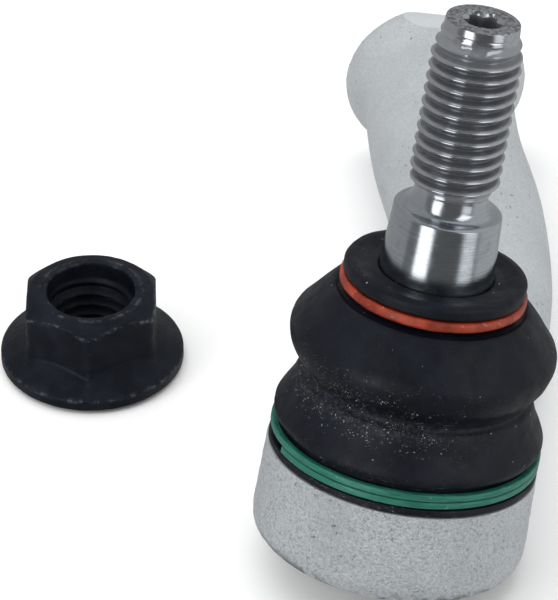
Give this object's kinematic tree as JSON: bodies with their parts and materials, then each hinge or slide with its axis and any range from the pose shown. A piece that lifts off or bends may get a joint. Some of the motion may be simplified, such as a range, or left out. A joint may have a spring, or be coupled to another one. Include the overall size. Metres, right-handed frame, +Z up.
{
  "type": "tie rod end",
  "caption": "Steering tie rod end: forged arm with threaded socket, sealed ball joint with booted threaded stud, and its loose flange nut.",
  "frame": {"origin": "bottom centre of the bounding box of the tie rod end and its nut, on the bench they lie on", "axes": "+Z up from the bench, +Y from the ball joint towards the threaded end of the arm, +X to the right seen from the ball joint end"},
  "size_m": [0.0776, 0.114, 0.0787],
  "materials": {
    "zinc_coated_steel": "rough forged skin under a dull zinc coat",
    "cap_steel": "pressed disc, dull zinc",
    "spring_steel": "plain steel",
    "seat_plastic": "natural acetal",
    "bright_steel": "turned and rolled, bright",
    "boot_rubber": "matt black with faint sheen",
    "red_ring": "satin orange-red",
    "green_ring": "satin green coat",
    "black_phosphate": "black phosphate, lightly oiled"
  },
  "bodies": {
    "housing_body": {"housing": "zinc_coated_steel", "closing_cap": "cap_steel", "preload_spring": "spring_steel", "ball_seat_lower": "seat_plastic", "ball_seat_upper": "seat_plastic", "lower_clamp_ring": "green_ring", "boot_base_insert": "spring_steel"},
    "boot_body": {"dust_boot": "boot_rubber"},
    "boot_lip_body": {"upper_clamp_ring": "red_ring", "boot_lip_insert": "spring_steel"},
    "stud_body": {"ball_stud": "bright_steel"},
    "nut_body": {"flange_nut": "black_phosphate"}
  },
  "joints": [
    {"name": "swing_direction", "type": "hinge", "parent": "housing_body", "child": "boot_body", "pos_m": [0.01682, -0.0372, 0.017], "axis": [0.1546, 0.1924, 0.9691], "continuous": true},
    {"name": "stud_tilt", "type": "hinge", "parent": "boot_body", "child": "boot_lip_body", "pos_m": [0.01682, -0.0372, 0.017], "axis": [0.987, -0.0725, -0.1431], "range_deg": [-24, 24], "deforming": ["dust_boot"]},
    {"name": "stud_spin", "type": "hinge", "parent": "boot_lip_body", "child": "stud_body", "pos_m": [0.01682, -0.0372, 0.017], "axis": [0.1546, 0.1924, 0.9691], "continuous": true},
    {"name": "nut_lift", "type": "slide", "parent": "housing_body", "child": "nut_body", "axis": [0, 0, 1], "range_m": [0, 0.08]}
  ]
}
